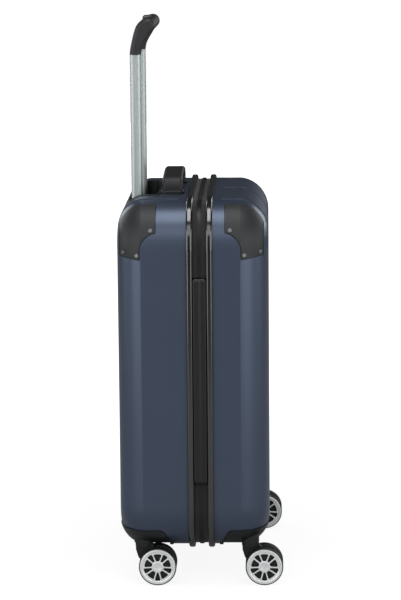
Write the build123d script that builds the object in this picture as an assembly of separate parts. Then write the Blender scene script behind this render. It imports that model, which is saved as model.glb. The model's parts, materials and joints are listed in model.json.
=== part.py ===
"""Cabin size hard shell suitcase on four twin-wheel casters, as an assembly.

Millimetres. X runs across the width with the hinge at -X, Y through the depth
with the front half at -Y and the handle half at +Y, Z up from the floor.
The zip lies in the plane Y = 0.
"""
import math
import os

from build123d import *

os.makedirs("parts", exist_ok=True)

# Shell outline, seen from the front
SHELL_W = 374.0
SHELL_H = 473.0
SHELL_R = 62.0
SHELL_ZC = 285.5
SHELL_TOP = SHELL_ZC + SHELL_H / 2
SIDE_X = SHELL_W / 2
WALL = 2.5
CREASE = math.radians(8.0)

# Lengths past the end of everything, for cutting shapes
REACH = 260.0
SKY = 600.0

# Each half: crease line, outer face, guard edge and caster stem, as depths from the zip plane
REAR = {"crease": 77.5, "face": 110.0, "guard": 105.5, "stem": 79.5}
FRONT = {"crease": 54.0, "face": 92.0, "guard": 84.5, "stem": 65.0}

# Grooves pressed into the shells
GROOVE_X = (-130.0, 0.0, 130.0)
GROOVE_W = 10.0
GROOVE_DEPTH = 2.0
GROOVE_START = 29.0

# Edge frame, zip and hinge
FRAME_Y0 = 9.0
FRAME_Y1 = 17.4
FRAME_OUT = 4.7
FRAME_IN = -3.2
FRAME_R = 2.6
SLOT_Y = 12.0
ZIP_GAP = 0.35
TAPE_OUT = -1.2
TAPE_THICK = 1.0
CHAIN_OUT = -0.2
CHAIN_IN = -3.0
CHAIN_Y = 2.7
HINGE_X = -192.6
HINGE_Z0 = 146.0
HINGE_Z1 = 423.0
HINGE_BEAD_R = 1.4
HINGE_GAP = 0.35
LEAF_X = -191.4
LEAF_THICK = 3.2
LEAF_W = 8.5
LEAF_GAP = 0.4
LEAF_R = 4.0

# Lining
LINING_GAP = 0.2
LINING_THICK = 1.0
LINING_EDGE = 0.6

# Corner guards and wheel housings
GUARD_X = 150.0
GUARD_DEPTH = 1.8
GUARD_PROUD = 1.0
GUARD_INNER = 19.5
GUARD_FOOT_Z = 448.0
GUARD_TIP_Z = 452.5
SCALLOP_Y = 23.0
SCALLOP_Z = 459.0
SCALLOP_R = 24.5
FIT = 0.8
RIVET_R = 2.8
RIVET_H = 1.2
SHANK_R = 1.5
SHANK_L = 3.0
TOP_RIVET_Y = 13.2
TOP_RIVET_Z = 486.0
LOW_RIVETS = ((0.14, 453.6), (0.69, 456.6))
HOUSING_X = 116.0
HOUSING_Z = 78.0
HOUSING_RISE = 13.0
HOUSING_IN = 28.0
HOUSING_FOOT = 62.0
HOUSING_R = 9.0
HOUSING_PROUD = 1.2
HOUSING_GAP = 0.15
SEAT_MARGIN = 3.0

# Casters
STEM_X = 152.0
STEM_R = 5.0
STEM_TOP = 76.0
BOSS_R = 12.5
BOSS_Z = 57.0
BOSS_ROOT = 70.0
WELL_R = 53.0
WELL_Z = 56.6
WASHER_R = 11.5
WASHER_H = 1.0
WASHER_GAP = 0.3
RUN = 0.05
TRAIL = 19.5
EYE_R = 8.0
NECK_R = 11.0
NECK_H = 3.7
WEB_HALF = 5.0
WEB = [(-11.0, 55.9), (10.5, 55.9), (10.2, 47.0), (7.0, 36.5), (-1.0, 26.0), (-15.0, 18.8), (-26.5, 21.5),
       (-27.4, 27.5), (-20.0, 45.0)]
AXLE_R = 3.0
AXLE_HALF = 13.6

# Wheels, as distances from the fork's middle along the axle
WHEEL_R = 25.5
WHEEL_IN = 5.6
WHEEL_OUT = 17.4
TYRE_IN_R = 2.2
TYRE_OUT_R = 0.9
TYRE_FLOOR = 13.4
TYRE_GAP = 0.15
CAP_R = 24.2
CAP_IN = 15.3
CAP_OUT = 18.0
CAP_STEP = 0.8
CAP_EDGE_R = 1.0
CAP_RING_R = 18.9
CAP_HUB_R = 7.8
CAP_FOOT_R = 6.5
CAP_AXLE_GAP = 0.4
SPOKE_PAIRS = 5
SPOKE_HALF = 1.0
GAP_CORNER_R = 0.9
WIDE_GAP = (8.3, 17.8, 21.3)
NARROW_GAP = (8.7, 18.7, 14.7)

# Telescopic handle: tubes as width and depth, lengths as heights
TUBE_X = 66.4
TUBE_Y = 87.0
TUBE_WALL = 1.2
TUBE_R = 4.0
TUBE_GAP = 0.1
TUBE_GROOVE_W = 3.0
OUTER_TUBE = (24.2, 21.6)
OUTER_Z = (108.0, 475.9)
MIDDLE_TUBE = (20.6, 18.0)
MIDDLE_Z = (110.0, 483.0)
INNER_TUBE = (17.0, 14.4)
GRIP_Z = 711.0
INNER_Z = (337.0, GRIP_Z)
COLLAR_WALL = 0.9
COLLAR_GAP = 0.25
COLLAR_Z0 = 481.1
COLLAR_Z1 = 485.0
PLUG_GAP = 0.2
PLUG_L = 27.0
FOOT_BOX = (-88.0, 88.0, 75.5, 104.1, 100.0, 118.0)
COVER_BOX = (-92.0, 92.0, 72.5, 104.1, 98.0, 474.5)
COVER_WALL = 2.0
COVER_R = 1.5

# Handle tray
TRAY_W = 180.0
TRAY_D = 48.0
TRAY_R = 16.0
TRAY_Y = 78.5
TRAY_Z = 476.0
TRAY_GAP = 0.2
TRAY_PROUD = 0.8
TRAY_FLOOR = 481.0
TRAY_WELL_W = 164.0
TRAY_WELL_D = 40.0
TRAY_WELL_R = 13.0
TRAY_HOLE_GAP = 0.15

# Grip, its side profile as depth and height, with the push button and its yoke as boxes
HEEL = (94.3, GRIP_Z)
SPINE = (91.2, 730.0)
CROWN = (86.4, 747.0)
RIDGE = (70.0, 759.4)
NOSE = (63.4, 742.5)
BELLY = (70.5, 733.0)
TOE = (79.7, GRIP_Z)
BAR_HALF = 78.0
BAR_UNDER = 737.0
OPEN_HALF = 53.0
OPEN_R = 9.0
GRIP_END_R = 5.0
SPIGOT_L = 18.0
PRESS = 3.8
BUTTON_CAP = (-15.6, 15.6, 68.3, 79.3, 755.6, 760.6)
BUTTON_R = 2.0
BUTTON_RISE = 10.0
YOKE_STEM = (-12.0, 12.0, 70.0, 78.0, 748.0, 756.0)
YOKE_BAR = (-70.0, 70.0, 69.6, 78.4, 745.0, 749.0)
YOKE_TAB = (-3.0, 3.0, 76.0, 85.0, 739.5, 743.5)
YOKE_LEG = (-3.0, 3.0, 76.0, 78.4, 739.5, 748.0)
YOKE_GAP = 0.4
ROD_Y = 84.0
ROD_R = 1.6
ROD_HOLE_R = 2.0
ROD_Z0 = 342.0

# Carry handles
STRAP_HALF = 74.0
STRAP_RISE = 28.0
STRAP_W = 27.0
STRAP_LEG = 56.0
STRAP_UNDER = 16.5
STRAP_DROP = 6.0
STRAP_END_R = 14.0
STRAP_INNER_R = 7.0
STRAP_EDGE_R = 4.0
TOP_HANDLE_Y = 38.5
SIDE_HANDLE_Y = 47.0
ANCHOR_X = 65.0
ANCHOR_W = 25.0
ANCHOR_D = 31.0
ANCHOR_H = 5.0
ANCHOR_R = 6.0
ANCHOR_EDGE_R = 1.5

# Packing straps: half length, two depths and half width; buckle around its strap
PACKING_Z = (200.0, 370.0)
WEBBING = (178.0, 71.3, 72.4, 12.5)
BUCKLE_BOX = (-24.0, 24.0, 65.5, 71.2, -17.0, 17.0)
BUCKLE_R = 5.0
BUCKLE_EDGE_R = 1.5
BUCKLE_SLOT = (16.0, 4.0, 1.5)
BUCKLE_SLOT_X = 4.0
BUCKLE_SLOT_Z = 10.5

# Zip sliders, around their height
SLIDER_Z = {"upper": 322.0, "lower": 282.0}
SLIDER_BODY = (187.2, 191.6, -4.5, 4.5, -6.0, 6.0)
SLIDER_R = 1.2
PULL_BODY = (191.8, 193.4, -3.6, 3.6, -27.0, 2.0)
PULL_R = 2.6
PULL_BRIDGE = (191.4, 192.2, -1.5, 1.5, -4.0, 1.0)
PULL_HOLE_R = 1.8
PULL_HOLE_Z = -21.0


def span(x0, x1, y0, y1, z0, z1):
    """A box between two corners."""
    size = Box(x1 - x0, y1 - y0, z1 - z0)
    return Pos((x0 + x1) / 2, (y0 + y1) / 2, (z0 + z1) / 2) * size


def depth_plane(y):
    return Plane(origin=(0, y, SHELL_ZC), x_dir=(1, 0, 0), z_dir=(0, 1, 0))


def outline(grow):
    return RectangleRounded(SHELL_W + 2 * grow, SHELL_H + 2 * grow, SHELL_R + grow)


def ring(outer, inner, y0, y1):
    """A band that follows the shell outline, between two offsets of it."""
    band = outline(outer) - outline(inner)
    return extrude(depth_plane(y0) * band, amount=y1 - y0)


def outside(point):
    """How far a point lies outside the shell outline."""
    dx = abs(point.X) - SIDE_X + SHELL_R
    dz = abs(point.Z - SHELL_ZC) - SHELL_H / 2 + SHELL_R
    return math.hypot(max(dx, 0), max(dz, 0)) - SHELL_R


def edge_round(half):
    """Radius of the rounded edge between walls and face, and the depth of its centre."""
    r = (half["face"] - half["crease"]) / (1 - math.sin(CREASE))
    return r, half["face"] - r


def half_body(half, grow):
    """The closed form of one half, offset outwards by grow, in depth y >= 0."""
    r, _ = edge_round(half)
    face = half["face"] + grow
    oversize = outline(grow + r * (1 - math.cos(CREASE)))
    block = extrude(depth_plane(0) * oversize, amount=face)
    rim = block.edges().filter_by_position(Axis.Y, face - 0.01, face + 0.01)
    return fillet(rim, r + grow) & extrude(depth_plane(0) * outline(grow), amount=face)


def both_sides(shape):
    """A shape on the +X side and its mirror image, as two solids."""
    return [shape, mirror(shape, about=Plane.YZ)]


def guard_prism(half, grow):
    """The side view of a corner guard, as a prism on the +X side."""
    inner = half["crease"] - GUARD_INNER - grow
    outer = half["guard"] + grow
    cy = half["crease"] - SCALLOP_Y
    r = SCALLOP_R - grow
    start_angle = math.acos((inner - cy) / r)
    mid_angle = start_angle / 2
    start = (inner, SCALLOP_Z + r * math.sin(start_angle))
    mid = (cy + r * math.cos(mid_angle), SCALLOP_Z + r * math.sin(mid_angle))
    end = (cy + r, SCALLOP_Z)
    foot = (cy + r, GUARD_FOOT_Z - grow)
    tip = (outer, GUARD_TIP_Z - grow)
    edges = [
        Line((inner, SKY), start),
        ThreePointArc(start, mid, end),
        Polyline(end, foot, tip, (outer, SKY), (inner, SKY)),
    ]
    side = Plane.YZ.offset(GUARD_X - grow) * make_face(edges)
    return extrude(side, amount=REACH - GUARD_X + grow)


def housing_prism(half, grow):
    """The side view of a wheel housing, as a prism on the +X side."""
    rim_z = HOUSING_Z + grow
    corner = (half["stem"] - HOUSING_IN - grow, rim_z)
    low = (half["stem"] - HOUSING_FOOT - grow, 0)
    points = [low, (REACH, 0), (REACH, rim_z + HOUSING_RISE), (half["stem"], rim_z), corner]
    side = make_face(Polyline(*points, close=True))
    vertex = side.vertices().sort_by_distance((corner[0], corner[1], 0))[0]
    side = fillet(vertex, HOUSING_R + grow)
    return extrude(Plane.YZ.offset(HOUSING_X - grow) * side, amount=REACH - HOUSING_X + grow)


def rivet_seats(half):
    """Points on the +X guard with their outward normals."""
    r = SHELL_R + GUARD_PROUD
    arc_x = SIDE_X - SHELL_R
    arc_z = SHELL_TOP - SHELL_R
    lift = math.asin((TOP_RIVET_Z - arc_z) / r)
    normal = (math.cos(lift), 0, math.sin(lift))
    seats = [((arc_x + r * normal[0], half["crease"] - TOP_RIVET_Y, arc_z + r * normal[2]), normal)]
    edge_r, edge_y = edge_round(half)
    edge_x = SIDE_X - edge_r * math.cos(CREASE)
    for along, z in LOW_RIVETS:
        depth = half["crease"] + along * (half["face"] - half["crease"])
        turn = math.asin((depth - edge_y) / edge_r)
        normal = (math.cos(turn), math.sin(turn), 0)
        r = edge_r + GUARD_PROUD
        seats.append(((edge_x + r * normal[0], edge_y + r * normal[1], z), normal))
    return seats


def rivet_bore(seat):
    return Plane(origin=seat[0], z_dir=seat[1]) * Pos(0, 0, -SHANK_L / 2) * Cylinder(SHANK_R + RUN, SHANK_L)


def rivet(seat):
    """A domed head with a cross recess, on a shank."""
    shank = Pos(0, 0, -SHANK_L / 2) * Cylinder(SHANK_R, SHANK_L)
    dome = Pos(0, 0, RIVET_H / 2) * Cylinder(RIVET_R, RIVET_H)
    dome = fillet(dome.edges().group_by(Axis.Z)[-1], 0.6 * RIVET_H)
    for turn in (0, 90):
        dome = dome - Pos(0, 0, RIVET_H) * Rot(0, 0, turn) * Box(1.2 * RIVET_R, 0.25 * RIVET_R, RIVET_H)
    return Plane(origin=seat[0], z_dir=seat[1]) * (dome + shank)


def strap():
    """A carry handle along X that stands on Z = 0."""
    shoulder = STRAP_RISE - STRAP_DROP
    edges = [
        Polyline(
            (-STRAP_HALF, shoulder),
            (-STRAP_HALF, ANCHOR_H),
            (-STRAP_LEG, ANCHOR_H),
            (-STRAP_LEG, STRAP_UNDER),
            (STRAP_LEG, STRAP_UNDER),
            (STRAP_LEG, ANCHOR_H),
            (STRAP_HALF, ANCHOR_H),
            (STRAP_HALF, shoulder),
        ),
        ThreePointArc((STRAP_HALF, shoulder), (0, STRAP_RISE), (-STRAP_HALF, shoulder)),
    ]
    side = make_face(edges)
    side = fillet(side.vertices().group_by(Axis.Y)[-1], STRAP_END_R)
    side = fillet([v for v in side.vertices() if abs(v.Y - STRAP_UNDER) < 0.01], STRAP_INNER_R)
    body = extrude(Plane.XZ.offset(-STRAP_W / 2) * side, amount=STRAP_W)
    rims = body.edges().filter_by(lambda e: abs(abs(e.center().Y) - STRAP_W / 2) < 0.01)
    return fillet(rims.filter_by(lambda e: e.center().Z > ANCHOR_H + 1), STRAP_EDGE_R)


def anchor(sign):
    foot = RectangleRounded(ANCHOR_W, ANCHOR_D, ANCHOR_R)
    plate = extrude(Pos(sign * ANCHOR_X, 0, 0) * foot, amount=ANCHOR_H)
    return fillet(plate.edges().group_by(Axis.Z)[-1], ANCHOR_EDGE_R)


def post(x, y, r, z0, z1):
    """An upright cylinder between two heights."""
    return Pos(x, y, (z0 + z1) / 2) * Cylinder(r, z1 - z0)


def bar(size_x, size_y, grow, z0, z1):
    """An upright bar with rounded corners in the tubes' plane, grown on all sides."""
    section = RectangleRounded(size_x + 2 * grow, size_y + 2 * grow, TUBE_R)
    return Pos(0, TUBE_Y, z0) * extrude(section, amount=z1 - z0)


def tube(size_x, size_y, z0, z1):
    return bar(size_x, size_y, 0, z0, z1) - bar(size_x, size_y, -TUBE_WALL, z0 - 1, z1 + 1)


def pair(shape):
    """A shape at both tubes, as two solids."""
    return [Pos(TUBE_X, 0, 0) * shape, Pos(-TUBE_X, 0, 0) * shape]


def pair_union(shape):
    right, left = pair(shape)
    return right + left


def around(box, down, rise=YOKE_GAP):
    """The room that a box needs to move down."""
    x0, x1, y0, y1, z0, z1 = box
    return span(x0 - YOKE_GAP, x1 + YOKE_GAP, y0 - YOKE_GAP, y1 + YOKE_GAP, z0 - down - YOKE_GAP, z1 + rise)


def save(name, shape):
    solids = shape if isinstance(shape, list) else [shape]
    flat = [s for item in solids for s in item.solids()]
    node = flat[0] if len(flat) == 1 else Compound(children=flat)
    node.label = name
    export_step(node, f"parts/{name}.step")


def spoke_gap(r0, r1, half_deg):
    """A gap between two straight spokes, around the local X axis of a sketch."""
    corners = []
    for r, side in ((r0, -1), (r1, -1), (r1, 1), (r0, 1)):
        turn = side * (math.radians(half_deg) - math.asin(SPOKE_HALF / r))
        corners.append((r * math.cos(turn), r * math.sin(turn)))
    edges = [
        Line(corners[0], corners[1]),
        ThreePointArc(corners[1], (r1, 0), corners[2]),
        Line(corners[2], corners[3]),
        ThreePointArc(corners[3], (r0, 0), corners[0]),
    ]
    face = make_face(edges)
    return fillet(face.vertices(), GAP_CORNER_R)


def tray_block(grow):
    """The handle tray without its well, grown on all sides."""
    plan = RectangleRounded(TRAY_W + 2 * grow, TRAY_D + 2 * grow, TRAY_R + grow)
    return Pos(0, TRAY_Y, TRAY_Z - grow) * extrude(plan, amount=REACH)


# Forms that several pieces share, in depth y >= 0
TRAY_CUT = tray_block(TRAY_GAP)
TRAY_CLEAR = span(-TRAY_W / 2 - 1, TRAY_W / 2 + 1, TRAY_Y - TRAY_D / 2 - 1, REACH, TRAY_Z - 1, SKY)
RIB_HALF = GROOVE_W / 2 + WALL
GROOVES = [span(x - GROOVE_W / 2, x + GROOVE_W / 2, GROOVE_START, REACH, 0, SKY) for x in GROOVE_X]
RIBS = [span(x - RIB_HALF, x + RIB_HALF, GROOVE_START - WALL, REACH, 0, SKY) for x in GROOVE_X]
LINING_OUT = -WALL - GROOVE_DEPTH - LINING_GAP

HALVES = {"rear": (REAR, 1), "front": (FRONT, -1)}

for name, (half, sign) in HALVES.items():
    skin = half_body(half, 0)
    cavity = half_body(half, -WALL)
    inner_skin = half_body(half, -WALL - GROOVE_DEPTH)

    # Shell: wall with pressed grooves, guard seats and cut-outs at the wheel corners
    layer = skin - half_body(half, -GROOVE_DEPTH)
    pressed = layer & GROOVES[0]
    for slab in GROOVES[1:]:
        pressed = pressed + (layer & slab)
    backing = cavity - inner_skin
    doubler = backing & RIBS[0]
    for slab in RIBS[1:]:
        doubler = doubler + (backing & slab)
    for side in both_sides(guard_prism(half, SEAT_MARGIN)):
        doubler = doubler + (backing & side)
    shell = (skin - cavity) - span(-REACH, REACH, -1, SLOT_Y, 0, SKY)
    shell = shell + doubler - pressed
    seat_layer = (skin - half_body(half, -GUARD_DEPTH)) & guard_prism(half, FIT)
    for side in both_sides(seat_layer):
        shell = shell - side
    for side in both_sides(housing_prism(half, HOUSING_GAP)):
        shell = shell - side

    # Corner guards with their rivets
    guard = half_body(half, GUARD_PROUD) - half_body(half, -GUARD_DEPTH + RUN)
    guard = guard & guard_prism(half, 0)
    seats = rivet_seats(half)
    for spot in seats:
        bore = rivet_bore(spot)
        guard = guard - bore
        for side in both_sides(bore):
            shell = shell - side
    rivets = [rivet(spot) for spot in seats]

    # Wheel housings fill the bottom corners, with a flat boss for the caster
    stem = half["stem"]
    housing = half_body(half, HOUSING_PROUD) & housing_prism(half, 0)
    housing = housing - post(STEM_X, stem, WELL_R, 0, WELL_Z)
    housing = housing + post(STEM_X, stem, BOSS_R, BOSS_Z, BOSS_ROOT)
    housing = housing - post(STEM_X, stem, BOSS_R, 0, BOSS_Z)
    housing = housing - post(STEM_X, stem, STEM_R + RUN, 0, STEM_TOP + HOUSING_GAP)
    washer = post(STEM_X, stem, WASHER_R, BOSS_Z - WASHER_H, BOSS_Z)
    washer = washer - post(STEM_X, stem, STEM_R + WASHER_GAP, 0, SKY)

    # Edge frame grips the shell rim in a slot
    frame = ring(FRAME_OUT, FRAME_IN, FRAME_Y0, FRAME_Y1)
    ends = frame.edges().filter_by(lambda e: min(abs(e.center().Y - y) for y in (FRAME_Y0, FRAME_Y1)) < 0.01)
    frame = fillet([e for e in ends if outside(e.center()) > 1.0], FRAME_R)
    frame = frame - ring(RUN, -WALL - RUN, SLOT_Y - RUN, FRAME_Y1 + 1)

    # Zip tape with its chain, left out along the hinge strip
    tape = ring(TAPE_OUT, TAPE_OUT - TAPE_THICK, ZIP_GAP, FRAME_Y0 - RUN)
    tape = tape + ring(CHAIN_OUT, CHAIN_IN, ZIP_GAP, CHAIN_Y)
    tape = tape - span(-REACH, -SIDE_X / 2, -1, FRAME_Y1, HINGE_Z0 - ZIP_GAP, HINGE_Z1 + ZIP_GAP)

    # Fabric lining
    lining = half_body(half, LINING_OUT) - half_body(half, LINING_OUT - LINING_THICK)
    lining = lining - span(-REACH, REACH, -1, FRAME_Y1 + LINING_EDGE, 0, SKY)
    for side in both_sides(housing_prism(half, 2 * HOUSING_GAP)):
        lining = lining - side

    # Hinge leaf on the left wall
    hinge_mid = (HINGE_Z0 + HINGE_Z1) / 2
    hinge_long = HINGE_Z1 - HINGE_Z0
    leaf_plan = Pos(LEAF_GAP + LEAF_W / 2, hinge_mid) * RectangleRounded(LEAF_W, hinge_long, LEAF_R)
    leaf = extrude(Plane.YZ.offset(LEAF_X) * leaf_plan, amount=LEAF_THICK)
    bead = Pos(HINGE_X, 0, hinge_mid)
    if name == "rear":
        leaf = leaf + bead * Cylinder(HINGE_BEAD_R, hinge_long - 3 * LEAF_R)
        shell = shell - TRAY_CUT
        lining = lining - TRAY_CLEAR
    else:
        leaf = leaf - bead * Cylinder(HINGE_BEAD_R + HINGE_GAP, hinge_long + LEAF_R)

    pieces = {
        "shell": [shell],
        "corner_guards": both_sides(guard),
        "guard_rivets": [s for r in rivets for s in both_sides(r)],
        "wheel_housings": both_sides(housing),
        "swivel_washers": both_sides(washer),
        "frame": [frame],
        "zip_tape": [tape],
        "lining": [lining],
        "hinge_leaf": [leaf],
    }
    for piece, shapes in pieces.items():
        if sign < 0:
            shapes = [mirror(s, about=Plane.XZ) for s in shapes]
        save(f"{name}_{piece}", shapes)

# Handle tray let into the top of the rear half, flush with its rounded edge
tray = tray_block(0) & half_body(REAR, TRAY_PROUD)
well_plan = Pos(0, TRAY_Y, TRAY_FLOOR) * RectangleRounded(TRAY_WELL_W, TRAY_WELL_D, TRAY_WELL_R)
tray = tray - extrude(well_plan, amount=REACH)
tray = tray - pair_union(bar(*MIDDLE_TUBE, 2 * TRAY_HOLE_GAP, TRAY_Z - 1, TRAY_FLOOR + 1))
save("handle_tray", tray)

# Fixed tubes, their foot and the cover in front of them
save("outer_tubes", pair(tube(*OUTER_TUBE, *OUTER_Z)))
foot = span(*FOOT_BOX) - pair_union(bar(*OUTER_TUBE, TUBE_GAP, OUTER_Z[0], SKY))
save("tube_foot", foot)
x0, x1, y0, y1, z0, z1 = COVER_BOX
cover = span(*COVER_BOX) - span(x0 + COVER_WALL, x1 - COVER_WALL, y0 + COVER_WALL, REACH, 0, SKY)
cover = fillet(cover.edges().filter_by(lambda e: abs(e.center().Y - y0) < 0.01), COVER_R)
save("tube_cover", cover)

# Sliding tubes
save("middle_tubes", pair(tube(*MIDDLE_TUBE, *MIDDLE_Z)))
collar = bar(*MIDDLE_TUBE, COLLAR_WALL, COLLAR_Z0, COLLAR_Z1)
collar = collar - bar(*MIDDLE_TUBE, RUN, 0, MIDDLE_Z[1])
collar = collar - bar(*INNER_TUBE, COLLAR_GAP, 0, SKY)
save("tube_collars", pair(collar))
inner = tube(*INNER_TUBE, *INNER_Z)
for side in (-1, 1):
    groove = Pos(side * INNER_TUBE[0] / 2, TUBE_Y, SKY) * Box(TUBE_WALL, TUBE_GROOVE_W, 2 * SKY)
    inner = inner - groove
save("inner_tubes", pair(inner))
bore_x = INNER_TUBE[0] - 2 * TUBE_WALL
bore_y = INNER_TUBE[1] - 2 * TUBE_WALL
plug = bar(bore_x, bore_y, -PLUG_GAP, INNER_Z[0] + 1, INNER_Z[0] + PLUG_L)
plug = plug - post(0, ROD_Y, ROD_HOLE_R, 0, SKY)
save("tube_plugs", pair(plug))

# Grip: a hooked side profile with a finger opening
back = Spline(HEEL, SPINE, CROWN, tangents=((-0.05, 1), (-0.4, 1)))
crown = TangentArc(CROWN, RIDGE, tangent=back % 1)
nose = TangentArc(RIDGE, NOSE, tangent=crown % 1)
belly = Spline(NOSE, BELLY, TOE, tangents=(nose % 1, (0.05, -1)))
hook = make_face([back, crown, nose, belly, Line(TOE, HEEL)])
grip = extrude(Plane.YZ.offset(-BAR_HALF) * hook, amount=2 * BAR_HALF)
ends = grip.edges().filter_by(lambda e: abs(abs(e.center().X) - BAR_HALF) < 0.01)
grip = fillet(ends.filter_by(lambda e: e.center().Z > GRIP_Z + 0.1), GRIP_END_R)
window = Pos(0, BAR_UNDER - OPEN_HALF) * RectangleRounded(2 * OPEN_HALF, 2 * OPEN_HALF, OPEN_R)
grip = grip - extrude(Plane.XZ * window, amount=REACH, both=True)
grip = grip - around(YOKE_BAR, PRESS) - around(BUTTON_CAP, PRESS, rise=BUTTON_RISE) - around(YOKE_STEM, PRESS)
grip = grip - pair_union(around(YOKE_TAB, PRESS))
grip = grip + pair_union(bar(bore_x, bore_y, 0, GRIP_Z - SPIGOT_L, GRIP_Z + 1))
grip = grip - pair_union(post(0, ROD_Y, ROD_HOLE_R, GRIP_Z - SPIGOT_L - 1, YOKE_TAB[4]))
save("grip", grip)

# Push button with its yoke, and the release rods
button = span(*BUTTON_CAP)
button = fillet(button.edges().group_by(Axis.Z)[-1], BUTTON_R)
button = button + span(*YOKE_STEM) + span(*YOKE_BAR)
button = button + pair_union(span(*YOKE_TAB)) + pair_union(span(*YOKE_LEG))
save("grip_button", button)
save("release_rods", pair(post(0, ROD_Y, ROD_R, ROD_Z0, YOKE_TAB[4])))

# Carry handles on the top and on the right wall
top_place = Pos(0, TOP_HANDLE_Y, SHELL_TOP)
side_place = Pos(SIDE_X, SIDE_HANDLE_Y, SHELL_ZC) * Rot(0, 90, 0)
save("top_handle", top_place * strap())
save("side_handle", side_place * strap())
save("handle_anchors", [place * anchor(s) for place in (top_place, side_place) for s in (-1, 1)])

# Packing straps with their buckles, lying on the tube cover
x1, y0, y1, half_w = WEBBING
save("packing_straps", [span(-x1, x1, y0, y1, z - half_w, z + half_w) for z in PACKING_Z])
buckle = span(*BUCKLE_BOX)
buckle = fillet(buckle.edges().filter_by(Axis.Y), BUCKLE_R)
buckle = fillet(buckle.edges().group_by(Axis.Y)[0], BUCKLE_EDGE_R)
for side in (-1, 1):
    prong = Plane.XZ * Pos(BUCKLE_SLOT_X, side * BUCKLE_SLOT_Z) * RectangleRounded(*BUCKLE_SLOT)
    buckle = buckle - extrude(prong, amount=REACH, both=True)
save("strap_buckles", [Pos(0, 0, z) * buckle for z in PACKING_Z])

# Zip sliders with pulls on the right wall
for name, z in SLIDER_Z.items():
    body = span(*SLIDER_BODY)
    body = fillet(body.edges().filter_by(Axis.X), 2 * SLIDER_R)
    body = fillet(body.edges().group_by(Axis.X)[-1], SLIDER_R)
    pull = span(*PULL_BODY)
    pull = fillet(pull.edges().filter_by(Axis.X), PULL_R)
    pull = pull - Pos(SIDE_X, 0, PULL_HOLE_Z) * Rot(0, 90, 0) * Cylinder(PULL_HOLE_R, REACH / 10)
    save(f"zip_slider_{name}", Pos(0, 0, z) * (body + pull + span(*PULL_BRIDGE)))

# Casters: fork, axle and two wheels each
web = extrude(Plane.YZ.offset(-WEB_HALF) * make_face(Polyline(*WEB, close=True)), amount=2 * WEB_HALF)
eye = Pos(0, -TRAIL, WHEEL_R) * Rot(0, 90, 0)
neck_top = WEB[0][1]
fork = web + eye * Cylinder(EYE_R, 2 * WEB_HALF)
fork = fork + post(0, 0, NECK_R, neck_top - NECK_H, neck_top)
fork = fork + post(0, 0, STEM_R, neck_top - NECK_H, STEM_TOP)
fork = fork - eye * Cylinder(AXLE_R, REACH)
axle = eye * Cylinder(AXLE_R, 2 * AXLE_HALF)

wheel_plane = Plane(origin=(0, 0, 0), x_dir=(0, 1, 0), z_dir=(1, 0, 0))


def disc(r, x0, x1):
    """A disc around the axle between two distances from the fork's middle."""
    return extrude(wheel_plane.offset(x0) * Circle(r), amount=x1 - x0)


tyre = disc(WHEEL_R, WHEEL_IN, WHEEL_OUT)
tyre = fillet(tyre.edges().filter_by(GeomType.CIRCLE).group_by(Axis.X)[0], TYRE_IN_R)
tyre = fillet(tyre.edges().filter_by(GeomType.CIRCLE).group_by(Axis.X)[-1], TYRE_OUT_R)
tyre = tyre - disc(CAP_R + TYRE_GAP, TYRE_FLOOR, REACH) - disc(AXLE_R + RUN, 0, REACH)

cap = disc(CAP_R, CAP_IN, CAP_OUT)
cap = fillet(cap.edges().filter_by(GeomType.CIRCLE).group_by(Axis.X)[-1], CAP_EDGE_R)
cap = cap - (disc(CAP_RING_R, CAP_OUT - CAP_STEP, REACH) - disc(CAP_HUB_R, 0, REACH))
gaps = ((spoke_gap(*WIDE_GAP), 90), (spoke_gap(*NARROW_GAP), 90 + 180 / SPOKE_PAIRS))
for k in range(SPOKE_PAIRS):
    for sketch, turn in gaps:
        cap = cap - extrude(wheel_plane * Rot(0, 0, turn + 360 / SPOKE_PAIRS * k) * sketch, amount=REACH)
cap = cap + disc(CAP_FOOT_R, TYRE_FLOOR + RUN, CAP_IN + RUN)
cap = cap - disc(AXLE_R + CAP_AXLE_GAP, 0, CAP_IN + CAP_STEP)

for x_name, x_sign in (("left", -1), ("right", 1)):
    for y_name, (half, y_sign) in HALVES.items():
        place = Pos(x_sign * STEM_X, y_sign * half["stem"], 0)
        spin = place * Pos(0, -TRAIL, WHEEL_R)
        corner = f"{y_name}_{x_name}"
        save(f"fork_{corner}", place * fork)
        save(f"axle_{corner}", place * axle)
        for side, turned in (("a", mirror(tyre, about=Plane.YZ)), ("b", tyre)):
            save(f"tyre_{corner}_{side}", spin * turned)
        for side, turned in (("a", mirror(cap, about=Plane.YZ)), ("b", cap)):
            save(f"hubcap_{corner}_{side}", spin * turned)
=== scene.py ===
"""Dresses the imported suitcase: materials, zip chain, soft goods and a plain studio."""
import json
import math

import bmesh
import bpy
from mathutils import Matrix, Vector, noise


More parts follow.
